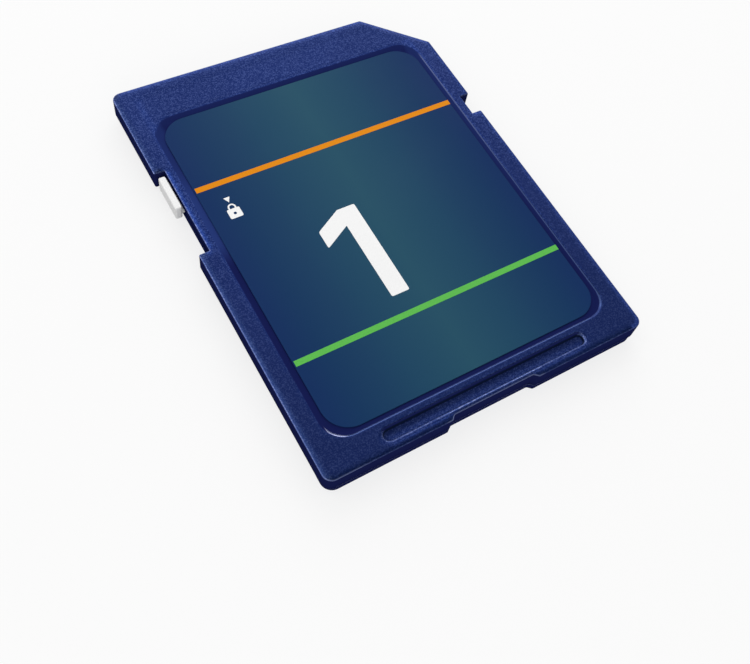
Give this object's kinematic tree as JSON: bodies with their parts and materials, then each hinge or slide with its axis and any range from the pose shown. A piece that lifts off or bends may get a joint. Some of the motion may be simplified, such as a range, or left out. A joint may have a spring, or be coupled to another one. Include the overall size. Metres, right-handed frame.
{
  "type": "sd memory card",
  "caption": "Flat blue full-size memory card with a cut corner, guide rails, striped label field, finger groove and a sliding write-protect tab, with its board, chips and contacts.",
  "frame": {"origin": "centre of the card's outline, on the back face that the card lies on", "axes": "+Y towards the contact end, +Z towards the label, +X towards the cut corner"},
  "size_m": [0.024, 0.032, 0.0021],
  "materials": {
    "shell_plastic": "spark-eroded fine grain, moulded through in blue",
    "tab_plastic": "smooth white moulding",
    "label_film": "satin printed film, navy at the edges and teal in the middle, with an orange and a green stripe",
    "board_laminate": "green solder mask",
    "chip_epoxy": "moulded black epoxy",
    "lead_tin": "tinned leads",
    "contact_gold": "gold plate with fine wipe marks",
    "capacitor_ceramic": "fired ceramic with tinned ends",
    "resistor_ceramic": "black glaze with tinned ends"
  },
  "bodies": {
    "card": {"front_cover": "shell_plastic", "back_cover": "shell_plastic", "front_label": "label_film", "circuit_board": "board_laminate", "flash_memory_chip": "chip_epoxy", "flash_chip_leads": "lead_tin", "controller_chip": "chip_epoxy", "contact_pad_1": "contact_gold", "contact_pad_2": "contact_gold", "contact_pad_3": "contact_gold", "contact_pad_4": "contact_gold", "contact_pad_5": "contact_gold", "contact_pad_6": "contact_gold", "contact_pad_7": "contact_gold", "contact_pad_8": "contact_gold", "contact_pad_9": "contact_gold", "capacitor_1": "capacitor_ceramic", "capacitor_2": "capacitor_ceramic", "capacitor_3": "capacitor_ceramic", "capacitor_4": "capacitor_ceramic", "resistor_1": "resistor_ceramic", "resistor_2": "resistor_ceramic", "resistor_3": "resistor_ceramic"},
    "tab": {"write_protect_tab": "tab_plastic"}
  },
  "joints": [
    {"name": "write_protect_slide", "type": "slide", "parent": "card", "child": "tab", "axis": [0, -1, 0], "range_m": [0, 0.00359]}
  ]
}
